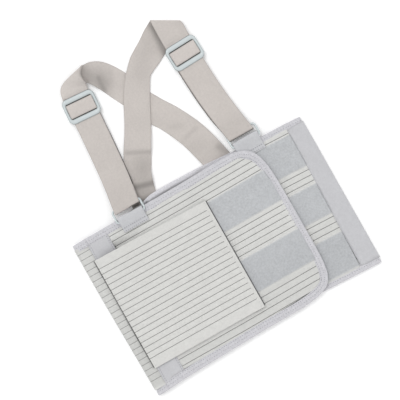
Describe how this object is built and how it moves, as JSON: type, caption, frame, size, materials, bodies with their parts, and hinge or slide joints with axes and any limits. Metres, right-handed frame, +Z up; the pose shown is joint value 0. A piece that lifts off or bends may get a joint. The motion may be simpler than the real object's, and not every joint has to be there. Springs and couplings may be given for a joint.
{
  "type": "lumbar support belt",
  "caption": "Elastic lumbar support belt with a wide tension band, stays in the back and crossed shoulder straps with sliders, folded flat.",
  "frame": {"origin": "middle of the back panel's outer face, on which the folded belt lies", "axes": "+X along the belt towards its plain right side, +Y from the lower edge towards the shoulder straps, +Z up through the layers"},
  "size_m": [0.3335, 0.4195, 0.0148],
  "materials": {
    "ribbed_elastic": "off-white ribbed elastic with thin dark grey lines along the belt",
    "band_elastic": "cream ribbed elastic webbing with plain edges",
    "plain_fabric": "light grey plain knit, matt",
    "lining": "light grey mesh lining",
    "stay_steel": "flat spring steel with rounded ends",
    "binding": "pale lavender grey folded tape with zigzag stitching",
    "plush": "mid grey brushed loop pile",
    "hook_tape": "light grey hook tape",
    "tab_webbing": "light grey smooth tape, sewn with a fine edge stitch",
    "strap_webbing": "warm grey elastic webbing, fine lengthwise weave",
    "thread": "sewing thread",
    "pale_hardware": "pale aqua grey moulded plastic, satin"
  },
  "bodies": {
    "root": {"back_bottom_binding": "binding", "back_inner_lining": "lining", "back_outer_shell": "ribbed_elastic", "back_stay_1": "stay_steel", "back_stay_2": "stay_steel", "back_stay_3": "stay_steel", "back_stay_4": "stay_steel", "back_stay_pockets": "lining", "back_top_binding": "binding", "band_root_tape": "plain_fabric", "crossing_stitching": "thread", "landing_plush_lower": "plush", "landing_plush_upper": "plush", "left_front_bottom_binding": "binding", "left_front_panel": "ribbed_elastic", "left_front_top_binding": "binding", "left_ring_tab": "tab_webbing", "left_seam_strip": "plain_fabric", "left_side_bottom_binding": "binding", "left_side_fold": "ribbed_elastic", "left_side_top_binding": "binding", "left_strap_front": "strap_webbing", "left_strap_rear": "strap_webbing", "left_strap_return": "strap_webbing", "left_strap_shoulder": "strap_webbing", "right_front_bottom_binding": "binding", "right_front_end_binding": "binding", "right_front_panel": "plain_fabric", "right_front_top_binding": "binding", "right_plush_lower": "plush", "right_plush_middle": "plush", "right_plush_upper": "plush", "right_ring_tab": "tab_webbing", "right_side_bottom_binding": "binding", "right_side_fold": "plain_fabric", "right_side_top_binding": "binding", "right_strap_front": "strap_webbing", "right_strap_rear_lower": "strap_webbing", "right_strap_rear_upper": "strap_webbing", "right_strap_return": "strap_webbing", "right_strap_shoulder": "strap_webbing"},
    "flap_end": {"flap_panel": "ribbed_elastic", "flap_binding": "binding", "flap_plush_upper": "plush", "flap_plush_lower": "plush", "flap_hook_patch": "hook_tape"},
    "tension_band": {"tension_band": "band_elastic", "band_hook_patch": "hook_tape"},
    "left_ring": {"left_ring": "pale_hardware", "left_strap_ring_turn": "strap_webbing"},
    "right_ring": {"right_ring": "pale_hardware", "right_strap_ring_turn": "strap_webbing"},
    "left_slider": {"left_slider_frame": "pale_hardware", "left_slider_strap_turn": "strap_webbing"},
    "right_slider": {"right_slider_frame": "pale_hardware", "right_slider_strap_turn": "strap_webbing"}
  },
  "joints": [
    {"name": "flap_peel", "type": "hinge", "parent": "root", "child": "flap_end", "pos_m": [0.02, 0, 0.0102], "axis": [0, -1, 0], "range_deg": [0, 140]},
    {"name": "band_lift", "type": "hinge", "parent": "root", "child": "tension_band", "pos_m": [-0.146, 0, 0.0126], "axis": [0, -1, 0], "range_deg": [0, 150]},
    {"name": "left_ring_tilt", "type": "hinge", "parent": "root", "child": "left_ring", "pos_m": [-0.0775, 0.103, 0.0123], "axis": [1, 0, 0], "range_deg": [0, 60]},
    {"name": "right_ring_tilt", "type": "hinge", "parent": "root", "child": "right_ring", "pos_m": [0.0955, 0.1144, 0.0091], "axis": [1, 0, 0], "range_deg": [0, 60]},
    {"name": "left_slider_slide", "type": "slide", "parent": "root", "child": "left_slider", "axis": [0.068, 0.9977, 0], "range_m": [-0.04, 0.004]},
    {"name": "right_slider_slide", "type": "slide", "parent": "root", "child": "right_slider", "axis": [-0.0436, 0.999, 0], "range_m": [-0.04, 0.006]}
  ]
}
